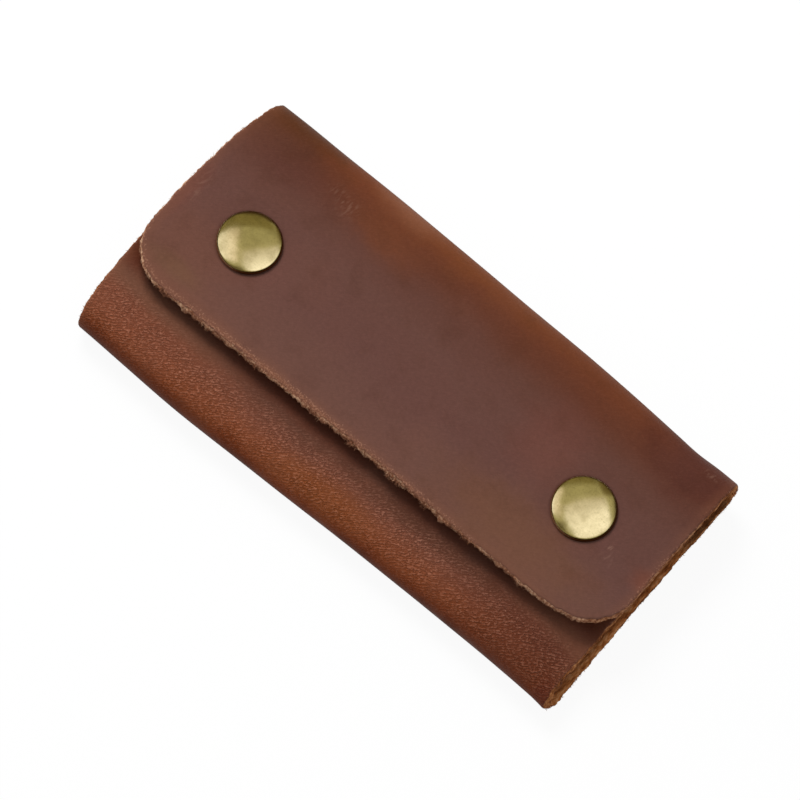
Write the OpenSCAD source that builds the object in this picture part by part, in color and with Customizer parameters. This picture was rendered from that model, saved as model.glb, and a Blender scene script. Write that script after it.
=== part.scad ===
// Folded leather key case: one strip of thick leather folded in three,
// held shut by two ring-spring snaps, with a riveted bar of six key hooks inside.
// +X runs along the folds, +Y from the bottom fold to the top fold, +Z up out of the flap.
// The origin is under the middle of the case, on the back panel's outer face.

/* [Case] */
// Length of the case, along its folds
case_length = 113; // [105:1:130]
// Width of the closed case, from fold to fold
case_width = 56.5; // [55.5:0.5:64]
// Thickness of the leather
leather = 1.8; // [1.4:0.1:2.2]
// Height of the room for keys between the back and front panels
key_room = 5; // [4.8:0.1:7]

/* [Panels] */
// How much of the front panel shows below the flap
front_reveal = 12.7; // [11:0.1:15]
// How far the front panel runs on past the right snap, under the flap
front_margin = 9.1; // [7:0.1:11]
// Radius of the flap's two free corners
flap_corner = 9.5; // [5:0.5:12]
// Radius of the front panel's two hidden corners
front_corner = 4; // [2:0.5:8]

/* [Snaps] */
// Diameter of the domed caps
cap_width = 12.7; // [11.5:0.1:15]
// Height of the domes over the flap
cap_height = 1.8; // [1.3:0.1:2.6]
// Distance from the left end to the left snap
left_snap_inset = 16; // [13:0.1:20]
// Distance from the right end to the right snap
right_snap_inset = 18.1; // [13:0.1:22]
// Distance from the flap's free edge to the left snap
left_snap_setback = 17.4; // [14:0.1:19]
// Distance from the flap's free edge to the right snap
right_snap_setback = 18.7; // [14:0.1:20]

/* [Key bar] */
// Distance from the left end to the key bar
bar_inset = 4.5; // [3:0.5:8]
// Sheet thickness of the key bar
bar_sheet = 0.8; // [0.6:0.1:1.2]
// Distance from each end of the key bar to the fold beside it
bar_margin = 0.95; // [0.5:0.05:2]

/* [Hooks] */
// Length of a hook from its pin to its tip
hook_length = 24; // [21:0.5:28]
// Space between one hook and the next
hook_gap = 2.2; // [1.9:0.1:2.6]
// Thickness of a hook
hook_sheet = 1.4; // [1.2:0.1:1.8]
// Width of a hook's shank and nose
hook_leg = 1; // [0.9:0.05:1.1]

/* [Hidden] */
$fn = 64;

// Clearances
running_gap = 0.05;   // between a pin and its bore, on the radius
face_gap = 0.1;       // between faces that slide past each other
fold_split = 0.1;     // between two lengths of leather at a bend line
cut_over = 1;         // how far a cut runs past what it cuts

// Snap pieces
cap_sheet = 0.5;
cap_rim = 0.5;
cap_post_radius = 1.6;
cap_post_bore = 1;
cap_post_flare = 0.2;
cap_post_flare_width = 0.4;
socket_radius = 5.4;
socket_web = 0.4;
socket_skirt_radius = 4.4;
socket_bore_radius = 3;
socket_lip_radius = 2.7;
socket_lip = 0.25;
spring_room = 0.9;
spring_wire = 0.5;
spring_opening_angle = 40;
snap_lift = 0.25;     // between the stud's flange and the socket's lip
stud_flange_radius = 4.2;
stud_flange = 0.4;
stud_neck_radius = 1.7;
stud_bead_radius = 2;
stud_bead = 0.35;
stud_post_radius = 1.15;
stud_post_bore = 0.7;
stud_post_flare = 0.15;
stud_post_flare_width = 0.35;
stud_post_flange_radius = 4;
stud_post_flange = 0.5;

// Key bar and its two rivets
hook_count = 6;
bar_end = 4;          // from the last hook's pin to the end of the bar
bar_corner = 3;
pin_setback = 4;      // from the bar's edge to the line of the hooks' pins
bar_rim = 0.9;        // of the bar, outside its rivets' caps
rivet_clearance = 0.4; // between the rivets' caps and the hooks' eyes
rivet_spread = 24;    // between the two rivets
rivet_radius = 1.4;
rivet_bore = 0.8;
rivet_head_radius = 3.4;
rivet_head = 0.5;
rivet_cap_radius = 2.6;
rivet_cap = 1;
rivet_cap_crown = 0.3;

// Hook pins, hooks and gates
pin_radius = 1.2;
pin_head_radius = 1.9;
pin_head = 0.5;
hook_neck = 5;        // from the pin to the start of the loop
gate_pivot_setback = 0.8; // from the hook's outer edge to the gate's pivot
gate_lug_radius = 1.25;
gate_pin_radius = 0.5;
gate_pin_head_radius = 0.85;
gate_pin_head = 0.3;
gate_width = 0.9;
gate_end_gap = 0.15;
nose_length = 3.4;    // from the gate's end to the middle of the hook's round tip

// Bend lines: each fold bends at two lines, an eighth of a turn from its two flat ends
first_bend_angle = 45;
second_bend_angle = 135;
half_turn_angle = 180;

// Heights, from the back panel's outer face up
snap_gap = stud_flange + snap_lift + socket_lip + spring_room + socket_web;
inner_face = leather;
front_under = inner_face + key_room;
front_top = front_under + leather;
flap_under = front_top + snap_gap;
flap_top = flap_under + leather;
top_radius = flap_top / 2;
bottom_radius = front_top / 2;
top_centre_y = case_width / 2 - top_radius;
bottom_centre_y = bottom_radius - case_width / 2;

// Free edges of the two folded panels
flap_edge_y = front_reveal - case_width / 2;
front_edge_y = flap_edge_y + right_snap_setback + front_margin;

// Snap places
left_snap = [left_snap_inset - case_length / 2, flap_edge_y + left_snap_setback];
right_snap = [case_length / 2 - right_snap_inset, flap_edge_y + right_snap_setback];
socket_bottom = flap_under - socket_web - spring_room - socket_lip;
bead_top = flap_under - socket_web - cap_post_flare - face_gap - stud_post_flare;

// Key bar and hook places
bar_length = top_centre_y - bottom_centre_y - 2 * bar_margin;
hook_pitch = (bar_length - 2 * bar_end) / (hook_count - 1);
hook_width = hook_pitch - hook_gap;
loop_radius = hook_width / 2;
bar_left = bar_inset - case_length / 2;
bar_y = (top_centre_y + bottom_centre_y) / 2;
bar_top = inner_face + bar_sheet;
rivet_x = bar_left + bar_rim + rivet_cap_radius;
pin_x = rivet_x + rivet_cap_radius + rivet_clearance + loop_radius;
bar_width = pin_x + pin_setback - bar_left;
hook_bottom = bar_top + face_gap;
hook_top = hook_bottom + hook_sheet;
pin_head_bottom = hook_top + face_gap;
lug_sheet = (hook_sheet - face_gap) / 2;
tip_x = hook_length - loop_radius;
gate_pivot = [hook_neck, loop_radius - gate_pivot_setback];
gate_end_x = tip_x - nose_length;

function pin_y(number) = bar_y + (number - (hook_count + 1) / 2) * hook_pitch;
function rivet_y(side) = bar_y + side * rivet_spread / 2;
function bend_slack(radius) = fold_split / 2 / (radius - leather / 2) * half_turn_angle / PI;

// A profile drawn in Y and Z, run along the whole case
module along_case() {
    translate([-case_length / 2, 0, 0])
        rotate([90, 0, 90]) linear_extrude(case_length) children();
}

// Part of a fold's bend, between two angles counted from straight down
module bend(centre_y, radius, side, from, to) {
    middle = (from + to) / 2;
    reach = 2 * radius;
    translate([centre_y, radius]) intersection() {
        difference() {
            circle(radius);
            circle(radius - leather);
        }
        polygon(concat([[0, 0]],
            [for (a = [from, middle, to]) [side * reach * sin(a), -reach * cos(a)]]));
    }
}

module top_bend(from, to) bend(top_centre_y, top_radius, 1, from, to);
module bottom_bend(from, to) bend(bottom_centre_y, bottom_radius, -1, from, to);

// A flat length of leather between two places across the case
module flat_length(low_y, high_y, bottom) {
    translate([low_y, bottom]) square([high_y - low_y, leather]);
}

// What rounds off a panel's two free corners; side is the way its free edge points
module corner_cut(edge_y, side, radius) {
    for (end = [-1, 1]) {
        translate([end * (case_length / 2 - radius), edge_y - side * radius, -cut_over])
            linear_extrude(flap_top + 2 * cut_over) difference() {
                translate([end > 0 ? 0 : -radius - cut_over, side > 0 ? 0 : -radius - cut_over])
                    square(radius + cut_over);
                circle(radius);
            }
    }
}

module hole(place, radius) {
    translate([place[0], place[1], -cut_over]) cylinder(r = radius, h = flap_top + 2 * cut_over);
}

module back_panel() {
    slack_top = bend_slack(top_radius);
    slack_bottom = bend_slack(bottom_radius);
    color([0.42, 0.25, 0.18]) difference() {
        along_case() {
            flat_length(bottom_centre_y, top_centre_y, 0);
            top_bend(0, first_bend_angle - slack_top);
            bottom_bend(0, first_bend_angle - slack_bottom);
        }
        for (side = [-1, 1]) {
            hole([rivet_x, rivet_y(side)], rivet_radius + running_gap);
            translate([rivet_x, rivet_y(side), -cut_over])
                cylinder(r = rivet_head_radius + running_gap, h = rivet_head + face_gap + cut_over);
        }
    }
}

module top_fold() {
    slack = bend_slack(top_radius);
    color([0.45, 0.24, 0.17]) along_case() top_bend(first_bend_angle + slack, second_bend_angle - slack);
}

module flap() {
    slack = bend_slack(top_radius);
    color([0.41, 0.27, 0.24]) difference() {
        along_case() {
            flat_length(flap_edge_y, top_centre_y, flap_under);
            top_bend(second_bend_angle + slack, half_turn_angle);
        }
        corner_cut(flap_edge_y, -1, flap_corner);
        for (place = [left_snap, right_snap]) hole(place, cap_post_radius + running_gap);
    }
}

module bottom_fold() {
    slack = bend_slack(bottom_radius);
    color([0.40, 0.22, 0.15]) along_case() bottom_bend(first_bend_angle + slack, second_bend_angle - slack);
}

module front_panel() {
    slack = bend_slack(bottom_radius);
    color([0.44, 0.26, 0.18]) difference() {
        along_case() {
            flat_length(bottom_centre_y, front_edge_y, front_under);
            bottom_bend(second_bend_angle + slack, half_turn_angle);
        }
        corner_cut(front_edge_y, 1, front_corner);
        for (place = [left_snap, right_snap]) hole(place, stud_post_radius + running_gap);
    }
}

// Domed cap on the flap, with the hollow post that is rolled over inside the socket
module snap_cap(place) {
    radius = cap_width / 2;
    dome_radius = (radius * radius + cap_height * cap_height) / 2 / cap_height;
    dome_centre = cap_height - dome_radius;
    post_bottom = -leather - socket_web - cap_post_flare;
    color([0.62, 0.55, 0.33]) translate([place[0], place[1], flap_top]) rotate_extrude() {
        // the thin dome
        intersection() {
            translate([0, dome_centre]) difference() {
                circle(dome_radius);
                circle(dome_radius - cap_sheet);
            }
            square([radius, cap_height]);
        }
        // the rolled rim that bears on the leather
        translate([radius - cap_rim - cap_sheet, 0]) square([cap_rim, cap_rim]);
        // the post
        translate([cap_post_bore, post_bottom])
            square([cap_post_radius - cap_post_bore, cap_height - cap_sheet / 2 - post_bottom]);
        translate([cap_post_bore, post_bottom])
            square([cap_post_radius + cap_post_flare_width - cap_post_bore, cap_post_flare]);
    }
}

module snap_socket(place) {
    color([0.60, 0.54, 0.34]) translate([place[0], place[1], socket_bottom]) difference() {
        union() {
            translate([0, 0, flap_under - socket_web - socket_bottom])
                cylinder(r = socket_radius, h = socket_web);
            cylinder(r = socket_skirt_radius, h = flap_under - socket_bottom);
        }
        translate([0, 0, -cut_over])
            cylinder(r = socket_lip_radius, h = socket_lip + 2 * cut_over);
        translate([0, 0, socket_lip]) cylinder(r = socket_bore_radius, h = spring_room);
        cylinder(r = cap_post_radius + running_gap, h = flap_under + cut_over - socket_bottom);
    }
}

// Split ring of wire, trapped between the socket's lip and its web
module snap_spring(place) {
    ring_radius = socket_bore_radius - face_gap - spring_wire / 2;
    height = socket_bottom + socket_lip + spring_wire / 2 + face_gap / 2;
    color([0.55, 0.55, 0.52]) translate([place[0], place[1], height])
        rotate(spring_opening_angle / 2) rotate_extrude(angle = 2 * half_turn_angle - spring_opening_angle)
            translate([ring_radius, 0]) circle(spring_wire / 2, $fn = 24);
}

module snap_stud(place) {
    color([0.60, 0.54, 0.34]) translate([place[0], place[1], front_top]) difference() {
        union() {
            cylinder(r = stud_flange_radius, h = stud_flange);
            cylinder(r = stud_neck_radius, h = bead_top - front_top);
            translate([0, 0, bead_top - front_top - stud_bead])
                cylinder(r = stud_bead_radius, h = stud_bead);
        }
        translate([0, 0, -cut_over])
            cylinder(r = stud_post_radius + running_gap, h = bead_top - front_top + 2 * cut_over);
    }
}

// Hollow rivet that holds the stud, with its flange inside the case
module snap_post(place) {
    tube_top = bead_top + stud_post_flare;
    flange_bottom = front_under - stud_post_flange;
    color([0.60, 0.54, 0.34]) translate([place[0], place[1], flange_bottom]) difference() {
        union() {
            cylinder(r = stud_post_flange_radius, h = stud_post_flange);
            cylinder(r = stud_post_radius, h = tube_top - flange_bottom);
            translate([0, 0, bead_top - flange_bottom])
                cylinder(r = stud_post_radius + stud_post_flare_width, h = stud_post_flare);
        }
        translate([0, 0, -cut_over])
            cylinder(r = stud_post_bore, h = tube_top - flange_bottom + 2 * cut_over);
    }
}

// Flat bar with round corners, drilled for the hooks' pins and for its rivets
module key_bar() {
    low = [bar_left, bar_y - bar_length / 2];
    size = [bar_width, bar_length];
    color([0.62, 0.56, 0.38]) difference() {
        translate([low[0], low[1], inner_face]) linear_extrude(bar_sheet) {
            translate([bar_corner, 0]) square([size[0] - 2 * bar_corner, size[1]]);
            translate([0, bar_corner]) square([size[0], size[1] - 2 * bar_corner]);
            for (x = [bar_corner, size[0] - bar_corner], y = [bar_corner, size[1] - bar_corner])
                translate([x, y]) circle(bar_corner);
        }
        for (side = [-1, 1]) hole([rivet_x, rivet_y(side)], rivet_radius + running_gap);
        for (number = [1:hook_count]) hole([pin_x, pin_y(number)], pin_radius + running_gap);
    }
}

// Hollow rivet through the leather and the bar, its head let into the back's outer face
module bar_rivet(side) {
    tube_top = bar_top + rivet_cap - rivet_cap_crown;
    color([0.62, 0.55, 0.33]) translate([rivet_x, rivet_y(side), 0]) difference() {
        union() {
            translate([0, 0, face_gap]) cylinder(r = rivet_head_radius, h = rivet_head);
            translate([0, 0, face_gap]) cylinder(r = rivet_radius, h = tube_top - face_gap);
        }
        translate([0, 0, face_gap + rivet_head]) cylinder(r = rivet_bore, h = tube_top);
    }
}

// Cap pressed over the rivet's inner end
module bar_rivet_cap(side) {
    color([0.62, 0.55, 0.33]) translate([rivet_x, rivet_y(side), bar_top]) difference() {
        cylinder(r = rivet_cap_radius, h = rivet_cap);
        translate([0, 0, -cut_over])
            cylinder(r = rivet_radius + running_gap, h = rivet_cap - rivet_cap_crown + cut_over);
    }
}

module hook_pin(number) {
    color([0.62, 0.56, 0.38]) translate([pin_x, pin_y(number), inner_face]) {
        translate([0, 0, face_gap])
            cylinder(r = pin_radius, h = pin_head_bottom - inner_face);
        translate([0, 0, pin_head_bottom - inner_face])
            cylinder(r = pin_head_radius, h = pin_head);
    }
}

// Flat outline of a hook: the eye, the neck and a long loop with a round tip
module hook_outline() {
    inside = loop_radius - hook_leg;
    mouth_left = gate_pivot[0];
    difference() {
        union() {
            circle(loop_radius);
            translate([0, -loop_radius]) square([tip_x, hook_width]);
            translate([tip_x, 0]) circle(loop_radius);
        }
        // inside of the loop
        translate([hook_neck + gate_lug_radius + inside, -inside])
            square([tip_x - hook_neck - gate_lug_radius - inside, 2 * inside]);
        translate([hook_neck + gate_lug_radius + inside, 0]) circle(inside);
        translate([tip_x, 0]) circle(inside);
        // mouth that the gate closes
        translate([mouth_left, gate_pivot[1] - gate_lug_radius - face_gap])
            square([gate_end_x + gate_end_gap - mouth_left, hook_width]);
        translate(gate_pivot) circle(gate_lug_radius + face_gap);
    }
}

// Spring hook on its pin, with the half-thick lug and pin that carry its gate
module hook(number) {
    color([0.66, 0.60, 0.42]) translate([pin_x, pin_y(number), hook_bottom]) {
        difference() {
            linear_extrude(hook_sheet) hook_outline();
            translate([0, 0, -cut_over])
                cylinder(r = pin_radius + running_gap, h = hook_sheet + 2 * cut_over);
        }
        linear_extrude(lug_sheet) gate_lug_outline();
        translate([gate_pivot[0], gate_pivot[1], 0])
            cylinder(r = gate_pin_radius, h = hook_sheet + face_gap + gate_pin_head);
        translate([gate_pivot[0], gate_pivot[1], hook_sheet + face_gap])
            cylinder(r = gate_pin_head_radius, h = gate_pin_head);
    }
}

// Half-thick lug under the gate's eye, joined to the hook's neck and no wider than the hook
module gate_lug_outline() {
    root = gate_lug_radius + 2 * face_gap;
    intersection() {
        union() {
            translate(gate_pivot) circle(gate_lug_radius);
            translate([gate_pivot[0] - root, -loop_radius])
                square([root, loop_radius + gate_pivot[1]]);
        }
        translate([0, -loop_radius]) square([hook_length, hook_width]);
    }
}

// Spring gate: an eye on the hook's small pin and a bar that closes the mouth
module gate(number) {
    eye_bottom = lug_sheet + face_gap;
    bar_low = loop_radius - gate_width;
    color([0.70, 0.65, 0.48]) translate([pin_x, pin_y(number), hook_bottom]) difference() {
        union() {
            translate([gate_pivot[0], gate_pivot[1], eye_bottom])
                cylinder(r = gate_lug_radius, h = hook_sheet - eye_bottom);
            translate([gate_pivot[0], bar_low, eye_bottom])
                cube([gate_lug_radius + face_gap, gate_width, hook_sheet - eye_bottom]);
            translate([gate_pivot[0] + gate_lug_radius + face_gap, bar_low, 0])
                cube([gate_end_x - gate_pivot[0] - gate_lug_radius - face_gap, gate_width, hook_sheet]);
        }
        translate([gate_pivot[0], gate_pivot[1], 0])
            cylinder(r = gate_pin_radius + running_gap, h = hook_sheet + cut_over);
    }
}

back_panel();
top_fold();
flap();
bottom_fold();
front_panel();
snap_cap(left_snap);  // snap_cap_left
snap_cap(right_snap);  // snap_cap_right
snap_socket(left_snap);  // snap_socket_left
snap_socket(right_snap);  // snap_socket_right
snap_spring(left_snap);  // snap_spring_left
snap_spring(right_snap);  // snap_spring_right
snap_stud(left_snap);  // snap_stud_left
snap_stud(right_snap);  // snap_stud_right
snap_post(left_snap);  // snap_post_left
snap_post(right_snap);  // snap_post_right
key_bar();
bar_rivet(-1);  // bar_rivet_lower
bar_rivet(1);  // bar_rivet_upper
bar_rivet_cap(-1);  // bar_rivet_cap_lower
bar_rivet_cap(1);  // bar_rivet_cap_upper
hook_pin(1);  // hook_pin_1
hook_pin(2);  // hook_pin_2
hook_pin(3);  // hook_pin_3
hook_pin(4);  // hook_pin_4
hook_pin(5);  // hook_pin_5
hook_pin(6);  // hook_pin_6
hook(1);  // hook_1
hook(2);  // hook_2
hook(3);  // hook_3
hook(4);  // hook_4
hook(5);  // hook_5
hook(6);  // hook_6
gate(1);  // gate_1
gate(2);  // gate_2
gate(3);  // gate_3
gate(4);  // gate_4
gate(5);  // gate_5
gate(6);  // gate_6
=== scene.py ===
# Folded leather key case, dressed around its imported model.
# The leather is four skins that meet at the middle of the back and along the spine of each fold,
# so that each skin bends over one joint only.
import bpy
import math
import random
from functools import partial
import numpy as np
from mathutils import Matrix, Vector, noise


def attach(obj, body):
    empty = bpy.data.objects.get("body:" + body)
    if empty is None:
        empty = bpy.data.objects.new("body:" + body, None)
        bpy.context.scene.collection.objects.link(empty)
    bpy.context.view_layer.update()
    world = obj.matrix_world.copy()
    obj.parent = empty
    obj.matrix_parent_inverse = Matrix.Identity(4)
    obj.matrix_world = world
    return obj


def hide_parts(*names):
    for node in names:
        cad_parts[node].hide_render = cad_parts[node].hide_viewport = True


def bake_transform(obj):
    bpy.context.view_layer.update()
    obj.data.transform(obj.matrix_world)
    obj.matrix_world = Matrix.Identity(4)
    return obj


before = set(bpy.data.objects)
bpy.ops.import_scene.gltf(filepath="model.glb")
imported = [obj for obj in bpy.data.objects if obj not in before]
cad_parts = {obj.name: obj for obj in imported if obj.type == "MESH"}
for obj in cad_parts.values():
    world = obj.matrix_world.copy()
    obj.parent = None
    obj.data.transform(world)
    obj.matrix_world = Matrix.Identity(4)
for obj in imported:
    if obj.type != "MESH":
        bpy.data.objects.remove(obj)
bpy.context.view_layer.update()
print("frame loaded:", len(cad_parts), "nodes")

mm = 0.001
smoothAngle = 50      # faces that meet at less than this are shaded smooth, degrees
random.seed(7)


# small helpers

def srgb(hexColour):
    parts = [int(hexColour[i:i + 2], 16) / 255 for i in (1, 3, 5)]
    return tuple(c / 12.92 if c <= 0.04045 else ((c + 0.055) / 1.055) ** 2.4 for c in parts) + (1.0,)


def addNode(tree, kind, parts=None):
    # links the nodes and sockets among the parts and sets the rest; a math node's kind also says what it does
    kind, *operation = kind.split()
    node = tree.nodes.new("ShaderNode" + kind)
    if operation:
        node.operation = operation[0]
    for key, value in (parts or {}).items():
        if isinstance(value, bpy.types.Node):
            value = value.outputs[0]
        if isinstance(value, bpy.types.NodeSocket):
            tree.links.new(value, node.inputs[key])
        elif key == "range":
            # a Map Range node's limits, from and to
            for limit, socket in zip(value, node.inputs[1:5]):
                socket.default_value = limit
        elif key == "stops":
            ramp = node.color_ramp
            while len(ramp.elements) < len(value):
                ramp.elements.new(0.5)
            for element, (place, colour) in zip(ramp.elements, value):
                element.position = place
                element.color = srgb(colour)
        elif hasattr(node, str(key)):
            setattr(node, key, value)
        else:
            node.inputs[key].default_value = srgb(value) if isinstance(value, str) else value
    return node


def startMaterial(name):
    # a new material, and what adds nodes to it
    material = bpy.data.materials.new(name)
    material.use_nodes = True
    material.node_tree.nodes.clear()
    return material, partial(addNode, material.node_tree)


def finishMaterial(add, colour, layers, surface):
    # lays the layers over the colour, each as its mask, its paint and how it blends, and adds the shader
    for mask, paint, *blend in layers:
        colour = add("Mix", {"data_type": "RGBA", "blend_type": blend[0] if blend else "MIX", 0: mask,
                             6: colour, 7: paint}).outputs[2]
    shader = add("BsdfPrincipled", {"Base Color": colour, **surface})
    add("OutputMaterial", {"Surface": shader})


def deselectAll():
    bpy.ops.object.select_all(action="DESELECT")


def selectOnly(piece):
    deselectAll()
    piece.select_set(True)
    bpy.context.view_layer.objects.active = piece


def editAll():
    bpy.ops.object.mode_set(mode="EDIT")
    bpy.ops.mesh.select_all(action="SELECT")


def turnOutwards(piece):
    selectOnly(piece)
    editAll()
    bpy.ops.mesh.normals_make_consistent(inside=False)
    bpy.ops.object.mode_set(mode="OBJECT")


def pointsOf(piece):
    points = np.empty(len(piece.data.vertices) * 3)
    piece.data.vertices.foreach_get("co", points)
    return points.reshape(-1, 3)


def storeOnPoints(piece, name, values):
    kind, field = ("FLOAT", "value") if values.ndim == 1 else ("FLOAT_VECTOR", "vector")
    attribute = piece.data.attributes.new(name, kind, "POINT")
    attribute.data.foreach_set(field, values.astype(np.float32).ravel())


def smoothCurve(points, at):
    # a smooth curve through listed points
    px = np.array([p[0] for p in points], float)
    py = np.array([p[1] for p in points], float)
    slope = np.gradient(py, px)
    k = np.clip(np.searchsorted(px, at) - 1, 0, len(px) - 2)
    h = px[k + 1] - px[k]
    f = np.clip((at - px[k]) / h, 0, 1)
    return ((2 * f ** 3 - 3 * f ** 2 + 1) * py[k] + (f ** 3 - 2 * f ** 2 + f) * h * slope[k]
            + (3 * f ** 2 - 2 * f ** 3) * py[k + 1] + (f ** 3 - f ** 2) * h * slope[k + 1])


def easeIn(edge0, edge1, value):
    # 0 at the first edge, 1 at the second, and smooth between them
    t = np.clip((value - edge0) / (edge1 - edge0), 0, 1)
    return t * t * (3 - 2 * t)


def noiseAt(a, b, c):
    return np.array([noise.noise(Vector(p)) for p in zip(a, b, c)])


# camera, at the photograph's angle

cameraSettings = {
    "location": (129.92, -285.73, 862.68),   # mm
    "turn": (19.371, -5.469, 39.876),        # degrees
    "lens": 223.2, "sensor": 36,             # mm
    "nearest": 0.05,                         # m
}

deselectAll()
bpy.ops.object.camera_add(location=[v * mm for v in cameraSettings["location"]],
                          rotation=[math.radians(v) for v in cameraSettings["turn"]])
camera = bpy.context.object
camera.name = "camera"
camera.data.lens = cameraSettings["lens"]
camera.data.sensor_width = cameraSettings["sensor"]
camera.data.clip_start = cameraSettings["nearest"]
bpy.context.scene.camera = camera
bpy.context.scene.view_settings.view_transform = "Standard"


# the leather's sizes, in mm, as in the model

strip = {
    "halfLength": 56.5,
    "thickness": 1.8,
    "topFoldY": 21.95, "topFoldRadius": 6.3,
    "bottomFoldY": -23.95, "bottomFoldRadius": 4.3,
    "flapEdgeY": -15.55, "frontEdgeY": 12.25,
    "flapCorners": (10.0, 11.0),   # radius at the left and the right end
    "frontCorners": (4.0, 4.0),
    "grainRound": 0.62, "fleshRound": 0.25,   # how far a cut edge is rubbed round, on each side
    # the mesh: size of a face along the case and round the folds, the very short face at a seam, which makes
    # the shading run on over it, and the finer faces beside a cut edge and over its thickness
    "columnStep": 0.37, "rowStep": 0.55, "seamSteps": (0, 0.05),
    "cutSteps": (0, 0.12, 0.25, 0.4, 0.58, 0.8, 1.1),
    "layers": (0, 0.14, 0.32, 0.58, 0.95, 1.35, 1.62, 1.8),
}

# Where the hand-cut strip departs from a true rectangle, as (place, offset) in mm.
# s runs along the outer face: 0 at the middle of the back, up over the top fold, down under the bottom one.
handCut = {
    # inward from the left and right ends, by s
    "left": [(-74, -0.8), (-62, -0.95), (-53, -0.85), (-47, -0.6), (-41, -0.2), (-37, 0.25), (-31, 1.0),
             (-24, 0.7), (0, 0.2), (22, 0.5), (31.8, 1.8), (38, 1.5), (42, 0.9), (46, 0.15), (51, -0.28),
             (57, -0.55), (62, -0.7), (67, -0.6), (72, -0.6), (80, -0.75)],
    "right": [(-74, 0.7), (-55, 0.9), (-45, 1.0), (-37, 0.95), (-33.5, 0.6), (-30, 0.2), (-27, -0.3),
              (-22, -0.35), (-10, -0.3), (0, -0.2), (14, -0.15), (22, -0.15), (28, -0.3), (31.8, -0.25),
              (36, 0.0), (42, 0.05), (50, 0.2), (60, 0.35), (68, 0.2), (80, 0.35)],
    # how far each fold and the flap's free edge lie towards +Y, by x
    "topFold": [(-57, 0.5), (-48, 0.75), (-38, 0.75), (-20, 0.8), (0, 0.5), (20, 0.3), (33, -0.2),
                (42, -0.65), (47, -0.9), (52, -0.65), (57, -0.65)],
    "bottomFold": [(-57, -0.55), (-30, -0.95), (-10, -0.55), (10, 0.1), (30, 0.5), (44, 0.45),
                   (50, 0.25), (54, 0.0), (57, -0.4)],
    "flapEdge": [(-57, -0.3), (-40, -0.15), (0, 0.35), (24, 0.25), (34, 0.4), (41, 0.25), (44, 0.4),
                 (47, 0.75), (51, 0.5), (57, 0.3)],
}

snapPlaces = {"left": (-40.5, 1.85), "right": (38.4, 3.15)}
rivetPlaces = ((-48.5, -13.0), (-48.5, 11.0))

# How the case has settled at its right end: by how much, and from where to where along and around the strip.
endCurl = {"by": 2.2, "along": (49.5, 56.5), "around": (9, 19)}        # the back curls up to the front, mm
endPinch = {"by": 0.36, "along": (45, 56.5), "around": (-8, -20)}      # the lower fold is pressed, as a share

# Noise on the cuts: its size, how fast it changes over the thickness, its seed, and its height at the grain
# side and what it gains towards the flesh side, in mm.
cutNoise = {"wave": (9, 0.1, 0, 0.1, 0), "nick": (1.6, 0.6, 9, 0.16, 0.1), "fibre": (0.5, 2.2, 31, 0.2, 0.12)}
tornNoise = (0.75, 0.7, 17, 0.18, 0.34)             # more of it on the flap's free edge
tornCalm = {"by": 0.6, "along": (22, 32)}           # and less of that towards its right end
cutReach = {"seen": 2.5, "soft": 0.5}               # how far in from a cut it is worked out and fades
# at the right end of the lower fold the knife leant over, so that the cut face shows
knifeSlant = {"by": 0.45, "level": 0.4, "reach": 2, "from": (-44, -38), "to": (-26, -20)}

# Slow waves in the faces, calm round the snaps, which press into the flap; radii from a snap's axis, in mm.
faceWaves = {"size": (22, 16), "seed": 4.0, "height": 0.18, "calm": (9, 18)}
snapDimple = {"depth": 0.2, "around": (6.2, 9.5)}

topStart = strip["topFoldY"]
flapStart = topStart + math.pi * strip["topFoldRadius"]
topSpine = (topStart + flapStart) / 2
flapEnd = flapStart + topStart - strip["flapEdgeY"]
bottomStart = strip["bottomFoldY"]
frontStart = bottomStart - math.pi * strip["bottomFoldRadius"]
bottomSpine = (bottomStart + frontStart) / 2
frontEnd = frontStart - (strip["frontEdgeY"] - bottomStart)
flapTop = 2 * strip["topFoldRadius"]


def backCurl(x, s):
    return endCurl["by"] * easeIn(*endCurl["along"], x) * (1 - easeIn(*endCurl["around"], np.abs(s)))


def foldPinch(x, s):
    return endPinch["by"] * easeIn(*endPinch["along"], x) * easeIn(*endPinch["around"], s)


def foldAt(x, upper):
    # a fold: its radius, where it starts on the strip, its y on the case, and which way it lies
    fold, way = ("topFold", 1) if upper else ("bottomFold", -1)
    start = strip[fold + "Y"]
    return strip[fold + "Radius"], start, start + smoothCurve(handCut[fold], x), way


def placeOnCase(x, s, depth):
    # takes points of the flat strip to their places on the folded case, all in mm
    y, z = np.zeros_like(s), np.zeros_like(s)

    def put(on, newY, newZ):
        y[on], z[on] = newY[on], newZ[on]

    for upper, freeEnd, edgeY in ((True, flapEnd, strip["flapEdgeY"] + smoothCurve(handCut["flapEdge"], x)),
                                  (False, frontEnd, strip["frontEdgeY"])):
        radius, foldStart, foldY, way = foldAt(x, upper)
        side = (s >= 0) == upper
        put(side, s * foldY / foldStart, depth + backCurl(x, s))
        past, reach = way * (s - foldStart), radius - depth
        put(side & (past > 0), foldY + way * reach * np.sin(past / radius),
            radius - reach * np.cos(past / radius))
        panelStart = foldStart + way * math.pi * radius
        share = (s - panelStart) / (freeEnd - panelStart)
        put(side & (share >= 0), foldY + (edgeY - foldY) * share, 2 * radius - depth)
    z += (strip["bottomFoldRadius"] - z) * foldPinch(x, s)
    return np.stack([x, y, z], 1)


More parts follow.
